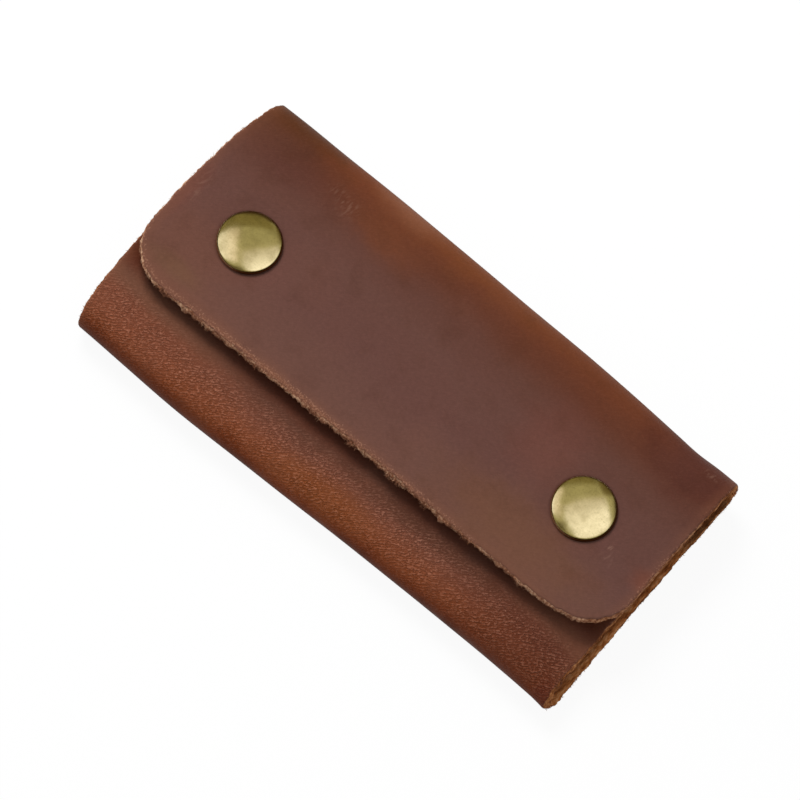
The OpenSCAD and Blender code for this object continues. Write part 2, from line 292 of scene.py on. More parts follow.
def cutEdge(x, s, end, corners):
    # distance in from the nearest cut edge, and the way out over it
    side = np.sign(x)
    fromSide = strip["halfLength"] - np.abs(x)
    if corners is None:
        return fromSide, side, np.zeros_like(x)
    way = math.copysign(1, end)
    fromEnd = way * (end - s)
    r = np.where(x < 0, corners[0], corners[1])
    a, b = r - fromSide, r - fromEnd
    reach = np.maximum(np.hypot(a, b), 1e-6)
    inCorner = (a > 0) & (b > 0)
    nearSide = fromSide < fromEnd
    away = np.where(inCorner, r - reach, np.minimum(fromSide, fromEnd))
    outX = np.where(inCorner, side * a / reach, np.where(nearSide, side, 0.0))
    outS = np.where(inCorner, way * b / reach, np.where(nearSide, 0.0, way))
    return away, outX, outS


def cutByHand(x, s, back=False):
    # moves the ends in or out as the strip was cut; back undoes it
    inset = np.where(x < 0, smoothCurve(handCut["left"], s), smoothCurve(handCut["right"], s))
    scale = 1 - inset / strip["halfLength"]
    return x / scale if back else x * scale


def roundCorners(x, s, end, corners):
    # squeezes the square corners of the sheet into quarter circles
    way = math.copysign(1, end)
    r = np.where(x < 0, corners[0], corners[1])
    p = (np.abs(x) - (strip["halfLength"] - r)) / r
    q = 1 - way * (end - s) / r
    on = (p > 0) & (q > 0)
    p, q = np.clip(p, 0, 1), np.clip(q, 0, 1)
    newX = np.sign(x) * (strip["halfLength"] - r + r * p * np.sqrt(1 - q * q / 2))
    newS = end - way * r * (1 - q * np.sqrt(1 - p * p / 2))
    return np.where(on, newX, x), np.where(on, newS, s)


def rubRound(away, depth, flesh):
    # turns the square corner between a face and a cut edge into a quarter circle
    r = strip["fleshRound"] if flesh else strip["grainRound"]
    down = strip["thickness"] - depth if flesh else depth
    p, q = 1 - np.clip(away, 0, r) / r, 1 - np.clip(down, 0, r) / r
    on = (p > 0) & (q > 0)
    newAway = np.where(on, r - r * p * np.sqrt(1 - q * q / 2), away)
    newDown = np.where(on, r - r * q * np.sqrt(1 - p * p / 2), down)
    return newAway, strip["thickness"] - newDown if flesh else newDown


def roughCut(x, s, depth, end, corners):
    # hand-cut edges: a little wavy, torn towards the flesh side, and rounded where they are handled
    away, outX, outS = cutEdge(x, s, end, corners)
    share = depth / strip["thickness"]
    near = np.exp(-np.maximum(away, 0) / cutReach["soft"])
    on = away < cutReach["seen"]

    def rough(size, rate, seed, height, gain):
        return (height + gain * share[on]) * noiseAt(x[on] / size, s[on] / size, depth[on] * rate + seed)

    push = np.zeros_like(x)
    push[on] = sum(rough(*noisy) for noisy in cutNoise.values()) * near[on]
    if corners and end > 0:
        calm = 1 - tornCalm["by"] * easeIn(*tornCalm["along"], x[on])
        push[on] += rough(*tornNoise) * calm * np.clip(outS[on], 0, 1) * near[on]
    newAway, newDepth = rubRound(away, depth, False)
    newAway, newDepth = rubRound(newAway, newDepth, True)
    push += away - newAway
    slant = easeIn(*knifeSlant["from"], s) * (1 - easeIn(*knifeSlant["to"], s)) * (x > 0)
    push += (knifeSlant["by"] * slant * (share - knifeSlant["level"])
             * np.exp(-np.maximum(away, 0) / knifeSlant["reach"]))
    return x + outX * push, s + outS * push, newDepth


def shapeFaces(x, s, depth):
    # slow waves in the leather, and where the snaps press into the flap
    onFlap = s > flapStart
    clear = np.ones_like(x)
    lift = np.zeros_like(x)
    for cx, cy in snapPlaces.values():
        r = np.hypot(x - cx, topStart - (s - flapStart) - cy)
        clear = np.minimum(clear, easeIn(*faceWaves["calm"], r))
        lift -= np.where(onFlap, snapDimple["depth"] * (1 - easeIn(*snapDimple["around"], r)), 0)
    wave = noiseAt(x / faceWaves["size"][0], s / faceWaves["size"][1], np.full_like(x, faceWaves["seed"]))
    lift += faceWaves["height"] * wave * np.where(onFlap, clear, 1.0)
    return depth - lift * (1 - depth / strip["thickness"])


def hideCoordinates(co, upper):
    # the strip's own coordinates (along, round, deep) of a point on the case, in mm, for the patterns
    x, y, z = co.T
    radius, flat, foldY, way = foldAt(x, upper)
    if not upper:
        z = radius + (z - radius) / (1 - foldPinch(x, np.where(z < radius, y, flat)))
    past = way * (y - foldY) > 0
    turn = np.arctan2(way * (y - foldY), radius - z)
    reach = np.hypot(y - foldY, radius - z)
    s = np.where(past, flat + way * radius * turn,
                 np.where(z < radius, y, flat + way * (math.pi * radius + way * (foldY - y))))
    depth = np.where(past, radius - reach, np.where(z < radius, z - backCurl(x, y), 2 * radius - z))
    return np.stack([x, s, depth], 1)


def spread(start, end, step, head, tail):
    # places of the mesh lines between two ends, each of which has steps of its own
    span = abs(end - start)
    count = max(2, round((span - head[-1] - tail[-1]) / step))
    middle = np.linspace(head[-1], span - tail[-1], count + 1)[1:-1]
    places = np.concatenate([head, middle, [span - v for v in reversed(tail)]])
    return start + math.copysign(1, end - start) * places


def makeSkin(name, start, end, corners):
    # a flat sheet of leather, shaped and folded; with corners it ends in a free edge, and else in a seam
    half, seam, cut = strip["halfLength"], strip["seamSteps"], strip["cutSteps"]
    rows = spread(start, end, strip["rowStep"], seam, cut if corners else seam)
    columns = spread(-half, half, strip["columnStep"], cut, cut)
    lastLayer = len(strip["layers"]) - 1
    deselectAll()
    bpy.ops.mesh.primitive_grid_add(x_subdivisions=len(columns) - 1, y_subdivisions=len(rows) - 1, size=1)
    skin = bpy.context.object
    skin.name = name
    editAll()
    for layer in range(lastLayer):
        bpy.ops.mesh.extrude_region_move(TRANSFORM_OT_translate={"value": (0, 0, -1)})
    bpy.ops.object.mode_set(mode="OBJECT")

    flat = pointsOf(skin)
    x = columns[np.rint((flat[:, 0] + 0.5) * (len(columns) - 1)).astype(int)]
    s = rows[np.rint((flat[:, 1] + 0.5) * (len(rows) - 1)).astype(int)]
    layer = np.rint(-flat[:, 2]).astype(int)
    depth = np.array(strip["layers"])[layer].astype(float)

    # which faces are grain, flesh or cut edge, while the sheet is still flat
    kinds = []
    for face in skin.data.polygons:
        layers = layer[list(face.vertices)]
        kinds.append(0 if layers.max() == 0 else 1 if layers.min() == lastLayer else 2)

    if corners:
        x, s = roundCorners(x, s, end, corners)
    x, s, depth = roughCut(x, s, depth, end, corners)
    depth = shapeFaces(x, s, depth)
    placed = placeOnCase(cutByHand(x, s), s, depth)
    skin.data.vertices.foreach_set("co", (placed * mm).astype(np.float32).ravel())
    skin.data.polygons.foreach_set("material_index", kinds)
    skin.data.update()
    turnOutwards(skin)
    return skin


def markHide(piece, end, corners):
    # stores what the patterns read: the strip's coordinates, and the distance to the nearest cut
    hide = hideCoordinates(pointsOf(piece) / mm, end > 0)
    storeOnPoints(piece, "hideMm", hide)
    away = cutEdge(cutByHand(hide[:, 0], hide[:, 1], back=True), hide[:, 1], end, corners)[0]
    storeOnPoints(piece, "fromCutMm", np.clip(away, 0, 50))


# materials of the leather

leather = {
    # along the strip, s in mm: the grain side's colour; it is darker just under and below the flap's free
    # edge (s -50 to -44) and round the lower fold's spine and underside (s -33 to -29), both painted shade
    "zones": [(-74, "#54301f"), (-50, "#532818"), (-47, "#5c3123"), (-44, "#603b2e"), (-41, "#7c4a38"),
              (-38, "#864b32"), (-35, "#874626"), (-33, "#783613"), (-31, "#5c2407"), (-29, "#46200a"),
              (-24, "#57301f"), (0, "#643a2a"), (24, "#5c341f"), (31, "#5c3019"), (36, "#6b3921"),
              (40, "#663622"), (44, "#5f3323"), (49, "#5e392f"), (55, "#613e36"), (66, "#623f38"),
              (74, "#66433a"), (80, "#6a453a")],
    # soft patches over that: centre (along, round), reach (along, round) in mm, colour and strength
    "patches": [((-8, 36), (32, 6), "#784322", 0.5), ((-50, 36), (15, 12), "#4e2a10", 0.85),
                ((50, 39), (14, 9), "#4c2620", 0.8), ((-46, 45), (12, 6), "#54302a", 0.5),
                ((-56, 62), (2.5, 9), "#7c4030", 0.25), ((32, 73), (20, 9), "#704832", 0.6),
                ((-49, 72), (13, 12), "#6c4436", 0.6), ((-22, 45), (9, 5), "#6e3b22", 0.55),
                ((-50, -40), (30, 6), "#834932", 0.65), ((48, -38), (20, 9), "#602d1a", 0.65),
                ((0, -36.5), (14, 4), "#884818", 0.4), ((-44, -32.8), (20, 1.6), "#60280c", 0.45),
                # painted shade below the flap's free edge at (20, -42.8), and painted light that eases the
                # flap's shadow at its left end (-46, -45) and its right end (50, -45.5)
                ((20, -42.8), (24, 1.8), "#563224", 0.5), ((-46, -45), (20, 3), "#74503e", 0.5),
                ((50, -45.5), (14, 3), "#7c4e3a", 0.6), ((56.5, 63.5), (4, 3), "#80432f", 0.38),
                ((55.5, -34.5), (3.5, 5), "#581c0c", 0.6), ((-22, 37), (9, 4), "#86563f", 0.5),
                ((26, 55), (8, 10), "#703d32", 0.35), ((-47, 75.5), (7, 2.5), "#6e4c36", 0.5)],
    "lighterWax": "#744a3c",
    "darkerOil": "#48261a",
    "rubbedEdge": "#82523a",
    "bare": [(0.34, "#a67862"), (0.5, "#82523a"), (0.62, "#6a402e")],
    # the grain's crests: dust, and a painted sheen
    "dustAndSheenCrest": "#bc8c76",
    "scuff": "#94705f",
    # painted shade round the caps
    "paintedCapShade": "#341a0c",
    # the flesh side and the cuts
    "nap": [(0.3, "#5c3a26"), (0.5, "#7a5036"), (0.7, "#97694a")],
    # loose pale fibres along the cuts, with painted light on top
    "paleFibresAndLight": [(0.34, "#8a4a20"), (0.5, "#cc8044"), (0.66, "#f4b47c")],
    # painted shade in the gap at the right end
    "paintedGapShade": "#3a200e",
    "orangeCut": [(0.36, "#54290f"), (0.5, "#9c5c2e"), (0.66, "#dc9e68")],
    "tanCut": [(0.36, "#5c3322"), (0.48, "#ac7456"), (0.6, "#ecc09c")],
    "grainLine": "#5a3626",
    # painted shade on the flap's cut, towards its flesh side
    "paintedLowCutShade": "#4a2a1c",
}

leatherMarks = [
    # scuffs and scratches on the grain: centre and reach (along, round) in mm, strength
    ((-31.5, 45.2), (2.6, 2.4), 0.22), ((-35.0, 44.0), (2.4, 1.6), 0.15), ((46.8, 62.2), (0.8, 0.7), 0.9),
    ((47.8, 64.4), (1.8, 1.8), 0.2), ((52.2, 38.6), (1.8, 1.2), 0.3), ((-54.5, 60.0), (1.2, 5.0), 0.2),
]


def makeGrain():
    # Waxed pull-up cowhide, tumbled and hand-waxed: a dull even face on the flap, warmer brown where it
    # bends, and a fine worm-like grain that shows on the front panel.
    material, add = startMaterial("waxedPullUpCowhide")
    hide = add("Attribute", {"attribute_name": "hideMm"}).outputs["Vector"]
    away = add("Attribute", {"attribute_name": "fromCutMm"}).outputs["Fac"]
    along, around = add("SeparateXYZ", {0: hide}).outputs[:2]
    flat = add("CombineXYZ", {0: along, 1: around})

    # patches about 25 mm, blotches about 6 mm, and fine mottling about 0.8 mm
    patches, blotches, mottle = [
        add("TexNoise", {"Scale": 1 / size, "Detail": detail, "Roughness": rough, "Vector": flat})
        for size, detail, rough in ((25, 2.0, 0.5), (6, 3.0, 0.55), (0.8, 3.0, 0.6))]

    # the zones of colour, with borders that wander by up to 1.5 mm and drift by up to 2.5 mm
    wander = add("Math MULTIPLY_ADD", {0: blotches, 1: 3.0, 2: -1.5})
    drift = add("Math MULTIPLY_ADD", {0: patches, 1: 5.0, 2: -2.5})
    place = add("Math ADD", {0: around, 1: wander})
    place = add("Math ADD", {0: place, 1: drift})
    zones = leather["zones"]
    low, high = zones[0][0], zones[-1][0]
    share = add("MapRange", {0: place, "range": (low, high, 0, 1)})
    stops = [((s - low) / (high - low), paint) for s, paint in zones]
    colour = add("ValToRGB", {"stops": stops, "Fac": share})

    def within(centre, reach, strength):
        # a soft round mask on the strip, with a border that the blotches break up
        moved = add("Mapping", {"Scale": (1 / reach[0], 1 / reach[1], 0), "Vector": flat,
                                "Location": (-centre[0] / reach[0], -centre[1] / reach[1], 0)})
        apart = add("VectorMath LENGTH", {0: moved}).outputs["Value"]
        broken = add("Math MULTIPLY_ADD", {0: blotches, 1: 0.9, 2: apart})
        return add("MapRange", {"interpolation_type": "SMOOTHSTEP", 0: broken,
                                "range": (1.75, 0.65, 0, strength)})

    layers = [(within(centre, reach, strength), paint)
              for centre, reach, paint, strength in leather["patches"]]
    waxed = add("MapRange", {0: patches, "range": (0.52, 0.75, 0, 0.25)})
    oiled = add("MapRange", {0: blotches, "range": (0.48, 0.25, 0, 0.25)})
    layers += [(waxed, leather["lighterWax"]), (oiled, leather["darkerOil"])]

    # worm-like grain, ridges about 0.5 mm apart: plain on the front panel, nearly pressed out on the flap
    turned = add("Mapping", {"vector_type": "TEXTURE", "Rotation": (0, 0, math.radians(-36)),
                             "Scale": (1.5, 1.0, 1.0), "Vector": flat})
    pores = add("TexNoise", {"Scale": 1 / 0.4, "Roughness": 0.65, "Distortion": 0.6, "Vector": turned})
    wrinkles = add("TexWave", {"bands_direction": "Y", "Scale": 0.314 / 0.5, "Distortion": 10.0,
                               "Detail Scale": 0.7, "Detail Roughness": 0.6, "Vector": turned}).outputs[1]
    # the wrinkles count for less than the pores between them
    worms = add("Math MULTIPLY_ADD", {0: wrinkles, 1: 0.12, 2: pores})
    worms = add("Math SUBTRACT", {0: worms, 1: 0.06})
    onFront = add("MapRange", {0: around, "range": (-31, -35, 0, 1)})
    underFlap = add("MapRange", {0: around, "range": (-45, -41, 0.12, 1)})
    grainDepth = add("Math MULTIPLY", {0: onFront, 1: underFlap})
    patchy = add("MapRange", {0: blotches, "range": (0.3, 0.6, 0.5, 1)})
    grainDepth = add("Math MULTIPLY", {0: grainDepth, 1: patchy})
    grainDepth = add("Math MAXIMUM", {0: grainDepth, 1: 0.06})
    ridge = add("MapRange", {0: worms, "range": (0.38, 0.64, 0, 1)})
    tint = add("MapRange", {0: ridge, "range": (0, 1, 0.74, 1.16)})
    # pale crests on the grain: dust, and a painted sheen on the ridges
    crest = add("MapRange", {0: worms, "range": (0.48, 0.7, 0, 0.26)})
    crest = add("Math MULTIPLY", {0: crest, 1: grainDepth})
    layers += [(grainDepth, tint, "MULTIPLY"), (crest, leather["dustAndSheenCrest"])]

    # fine mottling, and scuffs that show only where slanted streaks cross them
    mottled = add("MapRange", {0: mottle, "range": (0.3, 0.7, 0.94, 1.06)})
    layers.append((1.0, mottled, "MULTIPLY"))
    slanted = add("Mapping", {"vector_type": "TEXTURE", "Rotation": (0, 0, math.radians(-78)),
                              "Scale": (2.0, 0.7, 1.0), "Vector": flat})
    streaks = add("TexNoise", {"Scale": 1 / 0.8, "Vector": slanted})
    streaks = add("MapRange", {0: streaks, "range": (0.48, 0.66, 0, 1)})
    for centre, reach, strength in leatherMarks:
        scuff = add("Math MULTIPLY", {0: within(centre, reach, strength), 1: streaks})
        layers.append((scuff, leather["scuff"]))
    # around each cap a dark ring on the leather: painted shade where the cap stands on the flap
    for cx, cy in snapPlaces.values():
        x, s = hideCoordinates(np.array([[cx, cy, flapTop]]), True)[0, :2]
        apart = add("VectorMath DISTANCE", {0: flat, 1: (x, s, 0)})
        capShade = add("MapRange", {"interpolation_type": "SMOOTHSTEP", 0: apart.outputs["Value"],
                                "range": (6.9, 6.3, 0, 0.22)})
        layers.append((capShade, leather["paintedCapShade"]))

    # along the cuts the grain is rubbed back to the tan of the fibres: first a soft pale margin
    handled = add("MapRange", {0: blotches, "range": (0.36, 0.6, 0.3, 1)})
    margin = add("MapRange", {0: away, "range": (2.4, 0.2, 0, 0.3)})
    margin = add("Math MULTIPLY", {0: margin, 1: handled})
    # then specks that grow together at the very edge, wider at the middle of the case
    fromMiddle = add("Math ABSOLUTE", {0: along})
    spared = add("MapRange", {0: fromMiddle, "range": (12, 48, 0, 0.7)})
    reachIn = add("Math ADD", {0: away, 1: spared})
    # and wider at the flap's right end, below the fold: more rubbed specks, which also act as painted light
    # that lifts the shade there
    endWearAndLight = add("MapRange", {0: along, "range": (54, 56, 0, 0.6)})
    below = add("MapRange", {0: around, "range": (52, 58, 0, 1)})
    endWearAndLight = add("Math MULTIPLY", {0: endWearAndLight, 1: below})
    reachIn = add("Math SUBTRACT", {0: reachIn, 1: endWearAndLight})
    ragged = add("TexNoise", {"Scale": 1 / 0.38, "Detail": 3.0, "Roughness": 0.75, "Vector": hide})
    specks = add("Math MULTIPLY_ADD", {0: ragged, 1: 4.5, 2: reachIn})
    rubbed = add("MapRange", {0: specks, "range": (3.12, 2.3, 0, 0.8)})
    bare = add("ValToRGB", {"stops": leather["bare"], "Fac": ragged})
    layers += [(margin, leather["rubbedEdge"]), (rubbed, bare)]

    # relief: the worm-like grain, then a fine tooth
    raised = add("Math MULTIPLY", {0: ridge, 1: grainDepth})
    wormBump = add("Bump", {"Distance": 0.00018, "Height": raised})
    toothBump = add("Bump", {"Distance": 0.00003, "Height": mottle, "Normal": wormBump})
    roughness = add("MapRange", {0: blotches, "range": (0.3, 0.7, 0.52, 0.64)})
    # the waxed flap has more gloss than the rest
    gloss = add("MapRange", {0: around, "range": (40, 50, 0.1, 0.22)})
    finishMaterial(add, colour, layers, {"IOR": 1.5, "Roughness": roughness, "Specular IOR Level": gloss,
                                         "Normal": toothBump})
    return material


def makeFlesh():
    # The flesh side of the same hide, split and left unfinished: a short dull nap, lighter than the grain.
    material, add = startMaterial("splitFleshSide")
    hide = add("Attribute", {"attribute_name": "hideMm"}).outputs["Vector"]
    away = add("Attribute", {"attribute_name": "fromCutMm"}).outputs["Fac"]
    along, around = add("SeparateXYZ", {0: hide}).outputs[:2]
    # nap about 0.5 mm, drawn out around the strip, and clouds about 9 mm
    drawn = add("Mapping", {"Scale": (1.0, 0.3, 1.0), "Vector": hide})
    nap = add("TexNoise", {"Scale": 1 / 0.5, "Detail": 4.0, "Roughness": 0.6, "Vector": drawn})
    cloud = add("TexNoise", {"Scale": 1 / 9, "Vector": hide})
    halfNap = add("Math MULTIPLY", {0: nap, 1: 0.5})
    mixed = add("Math MULTIPLY_ADD", {0: cloud, 1: 0.5, 2: halfNap})
    colour = add("ValToRGB", {"stops": leather["nap"], "Fac": mixed})
    # along the cuts the fibres are loose and pale, and painted paler still as painted light where the flesh
    # near a cut lies in shade; less so at the right end
    looseAndLit = add("MapRange", {0: away, "range": (2.6, 0.6, 0, 0.85)})
    kept = add("MapRange", {0: along, "range": (44, 52, 0.4, 1)})
    looseAndLit = add("Math MULTIPLY", {0: looseAndLit, 1: kept})
    tornAndLit = add("ValToRGB", {"stops": leather["paleFibresAndLight"], "Fac": nap})
    # painted shade at the right end under the top fold, where the gap between the layers lies in shade
    paintedGapShade = add("MapRange", {0: around, "range": (11, 16, 0, 0.65)})
    gapShadeFade = add("MapRange", {0: around, "range": (31, 27, 0, 1)})
    paintedGapShade = add("Math MULTIPLY", {0: paintedGapShade, 1: gapShadeFade})
    atEnd = add("MapRange", {0: along, "range": (52, 54.5, 0, 1)})
    paintedGapShade = add("Math MULTIPLY", {0: paintedGapShade, 1: atEnd})
    bump = add("Bump", {"Distance": 0.00012, "Height": nap})
    finishMaterial(add, colour, [(looseAndLit, tornAndLit), (paintedGapShade, leather["paintedGapShade"])], {
        "Roughness": 0.95, "Specular IOR Level": 0.1, "Sheen Weight": 0.2, "Sheen Roughness": 0.5,
        "Sheen Tint": "#a87c58", "Normal": bump})
    return material


def makeCutEdge():
    # The knife-cut edge of the hide, raw and unburnished: dark at the grain, then loose tan fibres, and on
    # the flap painted shade towards the flesh side.
    material, add = startMaterial("rawCutEdge")
    hide = add("Attribute", {"attribute_name": "hideMm"}).outputs["Vector"]
    along, around, deep = add("SeparateXYZ", {0: hide}).outputs
    # fibres about 0.4 mm and blotches about 4 mm
    stretch = add("Mapping", {"Scale": (1.0, 0.6, 0.6), "Vector": hide})
    fibres = add("TexNoise", {"Scale": 1 / 0.4, "Detail": 5.0, "Roughness": 0.7, "Vector": stretch})
    blotches = add("TexNoise", {"Scale": 1 / 4, "Vector": hide})
    mixed = add("Mix", {"data_type": "FLOAT", 0: 0.35, 2: fibres, 3: blotches})
    orange = add("ValToRGB", {"stops": leather["orangeCut"], "Fac": mixed})
    tan = add("ValToRGB", {"stops": leather["tanCut"], "Fac": mixed})
    # the flap's free edge is tan, up to its right end
    onFlap = add("MapRange", {0: around, "range": (44, 50, 0, 1)})
    rightEnd = add("MapRange", {0: along, "range": (54.5, 50, 0.35, 1)})
    onFlap = add("Math MULTIPLY", {0: onFlap, 1: rightEnd})
    skinLine = add("MapRange", {0: deep, "range": (0.45, 0.15, 0, 0.5)})
    # painted shade: the flap's cut darkens towards its flesh side
    low = add("MapRange", {0: deep, "range": (0.5, 1.5, 0, 0.5)})
    low = add("Math MULTIPLY", {0: low, 1: onFlap})
    bump = add("Bump", {"Distance": 0.0002, "Height": fibres})
    layers = [(onFlap, tan), (skinLine, leather["grainLine"]), (low, leather["paintedLowCutShade"])]
    finishMaterial(add, orange, layers, {"Roughness": 0.9, "Specular IOR Level": 0.2, "Normal": bump})
    return material


grain, flesh, cut = makeGrain(), makeFlesh(), makeCutEdge()
print("leather materials made")


# the four skins

skins = {
    # places in mm; each skin spans one fold; bodies, bendFrom, bendTo and slot, for the joint it would bend
    # over, are not read here
    "backTopLeather": {
        "from": 0.0, "to": topSpine, "corners": None,
        "bodies": ("back", "top_fold"), "bendFrom": (0, 22.9, 0.95), "bendTo": (0, 26.8, 4.85),
        "replaces": ("back_panel", "top_fold"), "slot": "panel_leather",
    },
    "flapLeather": {
        "from": topSpine, "to": flapEnd, "corners": strip["flapCorners"],
        "bodies": ("top_fold", "flap"), "bendFrom": (0, 26.8, 7.75), "bendTo": (0, 21.95, 12.6),
        "replaces": ("flap", "top_fold"), "slot": "flap_leather",
    },
    "backBottomLeather": {
        "from": 0.0, "to": bottomSpine, "corners": None,
        "bodies": ("back", "bottom_fold"), "bendFrom": (0, -23.95, 0), "bendTo": (0, -27.0, 3.05),
        "replaces": ("back_panel", "bottom_fold"), "slot": "panel_leather",
    },
    "frontLeather": {
        "from": bottomSpine, "to": frontEnd, "corners": strip["frontCorners"],
        "bodies": ("bottom_fold", "front"), "bendFrom": (0, -27.0, 5.55), "bendTo": (0, -23.95, 8.6),
        "replaces": ("front_panel", "bottom_fold"), "slot": "panel_leather",
    },
}

rivetSeat = {"radius": 3.5, "depth": 0.6}   # pressed into the back for the rivets' heads, mm


def pressRivetSeat(skin, place):
    deselectAll()
    bpy.ops.mesh.primitive_cylinder_add(vertices=64, radius=rivetSeat["radius"] * mm,
                                        depth=2 * rivetSeat["depth"] * mm,
                                        location=(place[0] * mm, place[1] * mm, 0))
    cutter = bpy.context.object
    selectOnly(skin)
    pressed = skin.modifiers.new("rivetSeat", "BOOLEAN")
    pressed.operation, pressed.object, pressed.solver = "DIFFERENCE", cutter, "EXACT"
    bpy.ops.object.modifier_apply(modifier="rivetSeat")
    bpy.data.objects.remove(cutter)


fibre = {
    # mm: mean distance along a cut, mean length over the shortest, and the longest on a cut and in a tuft
    "apart": 0.14, "length": 0.12, "shortest": 0.08, "longest": 0.5, "longestInTuft": 0.85,
    "radius": (0.045, 0.1),
    "depth": (0.2, 1.7),       # where over the edge's thickness a fibre grows
    # spread of its lean along the edge, its curl, and how far it drops, as shares of its length
    "lean": 0.8, "curl": 0.5, "drop": (-0.4, 0.5),
    "root": (0.1, 0.3),        # how far inside the edge it starts, and how much more where the edge is round
    # torn spots on the flap's free edge, as the place along the case, their width and how far they stand out
    "tufts": [(-8.9, 0.5, 2.6), (8.3, 0.6, 3.0), (9.6, 0.4, 2.2), (38.5, 0.4, 2.4), (-23.9, 0.6, 1.7),
              (25.7, 0.5, 1.7), (-36.4, 1.0, 1.6), (-1.5, 0.5, 1.7), (16.0, 0.4, 1.8)],
    "tuftFibres": 48,
}


def modelFibre():
    # one short tapering fibre along Z, a face loop at its middle so that it can curl
    deselectAll()
    bpy.ops.mesh.primitive_cone_add(vertices=4, radius1=1, radius2=0.2, depth=1, end_fill_type="NGON",
                                    location=(0, 0, 0.5))
    model = bpy.context.object
    editAll()
    bpy.ops.mesh.bisect(plane_co=(0, 0, 0.5), plane_no=(0, 0, 1))
    bpy.ops.object.mode_set(mode="OBJECT")
    shape = [tuple(model.matrix_world @ v.co) for v in model.data.vertices]
    faces = [list(p.vertices) for p in model.data.polygons]
    bpy.data.objects.remove(model)
    return shape, faces


def outlineOf(start, end, corners):
    # the cut outline of a skin, as points (x, s) with the way out over the edge (outX, outS)
    half, sideSteps, endSteps, cornerSteps = strip["halfLength"], 400, 800, 100
    if corners is None:
        return [(side * half, start + (end - start) * k / sideSteps, side, 0.0)
                for side in (-1, 1) for k in range(sideSteps + 1)]
    way = math.copysign(1, end - start)
    left, right = corners
    turns = [math.pi / 2 * k / cornerSteps for k in range(1, cornerSteps + 1)]
    points = [(-half, start + (end - way * left - start) * k / sideSteps, -1.0, 0.0)
              for k in range(sideSteps + 1)]
    points += [(-half + left - left * math.cos(turn), end - way * left * (1 - math.sin(turn)),
                -math.cos(turn), way * math.sin(turn)) for turn in turns]
    points += [(-half + left + (2 * half - left - right) * k / endSteps, end, 0.0, way)
               for k in range(1, endSteps + 1)]
    points += [(half - right + right * math.sin(turn), end - way * right * (1 - math.cos(turn)),
                math.sin(turn), way * math.cos(turn)) for turn in turns]
    points += [(half, end - way * right - (end - way * right - start) * k / sideSteps, 1.0, 0.0)
               for k in range(1, sideSteps + 1)]
    return points


def addFibres(skin, start, end, corners):
    shape, faces = modelFibre()
    outline = np.array(outlineOf(start, end, corners))
    step = np.hypot(*(outline[1:, :2] - outline[:-1, :2]).T)
    step[step > strip["halfLength"]] = 0      # the jump from the left end to the right one
    run = np.concatenate([[0], np.cumsum(step)])
    spots = [(random.uniform(0.2, run[-1] - 0.2), 1.0)
             for k in range(int(run[-1] / fibre["apart"]))]
    if corners and end > 0:
        freeStart = end - start - corners[0] + math.pi / 2 * corners[0]
        for at, width, size in fibre["tufts"]:
            middle = freeStart + at + strip["halfLength"] - corners[0]
            spots += [(random.gauss(middle, width), size) for k in range(fibre["tuftFibres"])]
    points, polygons = [], []
    for k, (at, size) in enumerate(spots):
        x, s, outX, outS = [float(np.interp(at, run, outline[:, c])) for c in range(4)]
        length = random.expovariate(1 / fibre["length"]) + fibre["shortest"]
        length = min(min(length, fibre["longest"]) * size, fibre["longestInTuft"])
        radius = random.uniform(*fibre["radius"])
        lean = random.gauss(0, fibre["lean"])
        curl = random.uniform(-fibre["curl"], fibre["curl"])
        drop = random.uniform(*fibre["drop"])
        deep = random.uniform(*fibre["depth"])
        root, rootMore = fibre["root"]
        inset = root + rootMore * max(0.0, 1 - deep / strip["grainRound"])
        for px, py, pz in shape:
            forward = pz * length - inset
            sideways = px * radius + lean * pz * length + curl * pz * pz * length
            points.append((x + outX * forward + outS * sideways, s + outS * forward - outX * sideways,
                           deep + py * radius + drop * pz * length))
        polygons += [[v + k * len(shape) for v in face] for face in faces]
    x, s, depth = np.array(points).T
    mesh = bpy.data.meshes.new(skin.name + "Fibres")
    mesh.from_pydata((placeOnCase(cutByHand(x, s), s, depth) * mm).tolist(), [], polygons)
    fibres = bpy.data.objects.new(skin.name + "Fibres", mesh)
    bpy.context.scene.collection.objects.link(fibres)
    turnOutwards(fibres)
    mesh.materials.append(cut)
    skin.select_set(True)
    bpy.context.view_layer.objects.active = skin
    bpy.ops.object.join()       # which finds the cut's material among the skin's


for name, settings in skins.items():
    start, end, corners = settings["from"], settings["to"], settings["corners"]
    skin = makeSkin(name, start, end, corners)
    for material in (grain, flesh, cut):
        skin.data.materials.append(material)
    if "back_panel" in settings["replaces"]:
        for place in rivetPlaces:
            if place[1] * end > 0:
                pressRivetSeat(skin, place)
    addFibres(skin, start, end, corners)
    markHide(skin, end, corners)
    selectOnly(skin)
    bpy.ops.object.shade_smooth_by_angle(angle=math.radians(smoothAngle))
    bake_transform(skin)
    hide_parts(*settings["replaces"])
    print("skin made:", name, len(skin.data.polygons), "faces")


# metal

